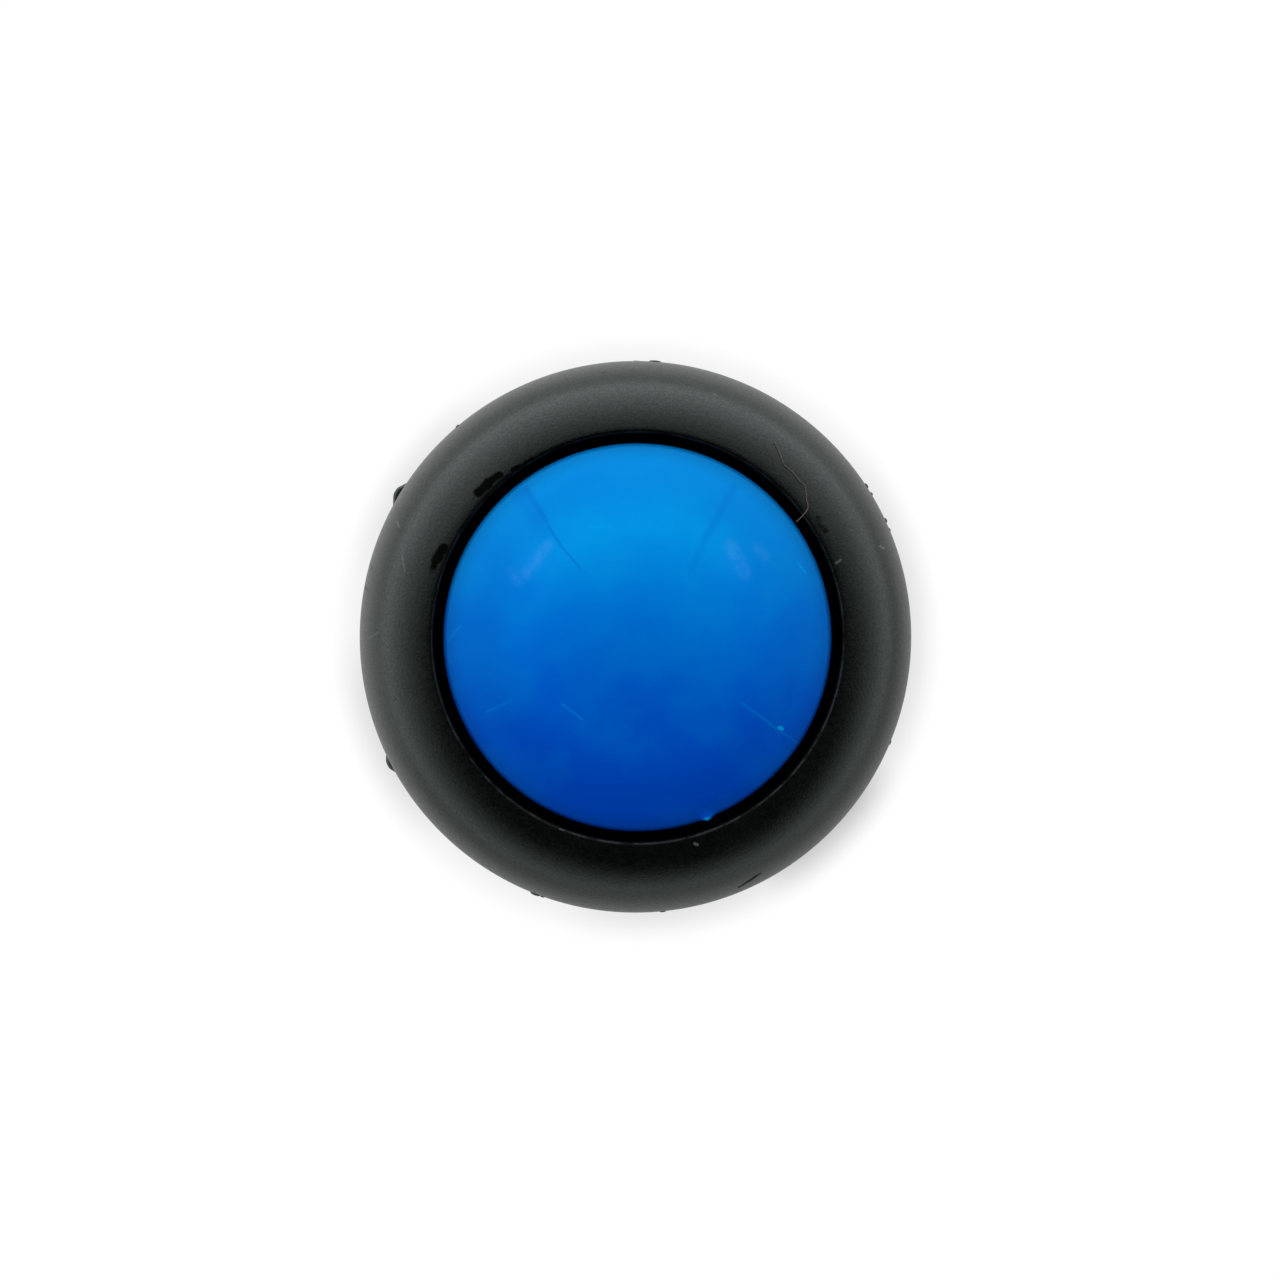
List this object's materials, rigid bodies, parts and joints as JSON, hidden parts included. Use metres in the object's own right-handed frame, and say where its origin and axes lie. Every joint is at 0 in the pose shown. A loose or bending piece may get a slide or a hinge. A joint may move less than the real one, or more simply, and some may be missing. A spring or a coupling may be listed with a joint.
{
  "type": "latching push button switch",
  "caption": "Round panel-mount push button with a domed blue cap in a black rounded bezel, a threaded barrel with hex nut and gasket, a latching plunger inside and solder lugs below.",
  "frame": {"origin": "on the push axis, in the plane of the panel's front face, where the gasket lies on it", "axes": "+Z along the push axis out of the panel towards the user; +Y is the side of the latch wire; +X is the line through the solder lugs"},
  "size_m": [0.0154, 0.016, 0.0275],
  "materials": {
    "black_moulding": "matte, fine grained",
    "black_rubber": "dull rubber",
    "blue_cap_plastic": "glossy moulded",
    "natural_nylon": "satin natural nylon",
    "spring_steel": "drawn wire",
    "silver_contact": "silver plated",
    "dark_base_resin": "matte moulded",
    "tinned_brass": "bright tin plate"
  },
  "bodies": {
    "housing": {"bezel_housing": "black_moulding", "panel_gasket": "black_rubber", "terminal_base": "dark_base_resin", "fixed_contact_left": "silver_contact", "fixed_contact_right": "silver_contact", "terminal_left": "tinned_brass", "terminal_right": "tinned_brass", "latch_leaf": "spring_steel", "return_spring": "spring_steel"},
    "button": {"button_cap": "blue_cap_plastic", "plunger": "natural_nylon", "plunger_seal": "black_rubber", "contact_spring": "spring_steel"},
    "disc": {"contact_disc": "silver_contact"},
    "latch": {"latch_wire": "spring_steel"},
    "nut": {"hex_nut": "black_moulding"}
  },
  "joints": [
    {"name": "button_press", "type": "slide", "parent": "housing", "child": "button", "axis": [0, 0, -1], "range_m": [0, 0.0022], "stiffness_N_per_m": 1400, "deforming": ["return_spring", "contact_spring"]},
    {"name": "latch_swing", "type": "hinge", "parent": "housing", "child": "latch", "pos_m": [0, 0.0045, -0.0126], "axis": [0, -1, 0], "range_deg": [0, 10.2]},
    {"name": "disc_travel", "type": "slide", "parent": "housing", "child": "disc", "axis": [0, 0, -1], "range_m": [0, 0.00099]},
    {"name": "nut_travel", "type": "slide", "parent": "housing", "child": "nut", "axis": [0, 0, 1], "range_m": [-0.007, 0.004]}
  ],
  "couplings": [
    {"joint": "latch_swing", "follows": "button_press", "rad_per_m": 80},
    {"joint": "disc_travel", "follows": "button_press", "ratio": 0.44545}
  ]
}
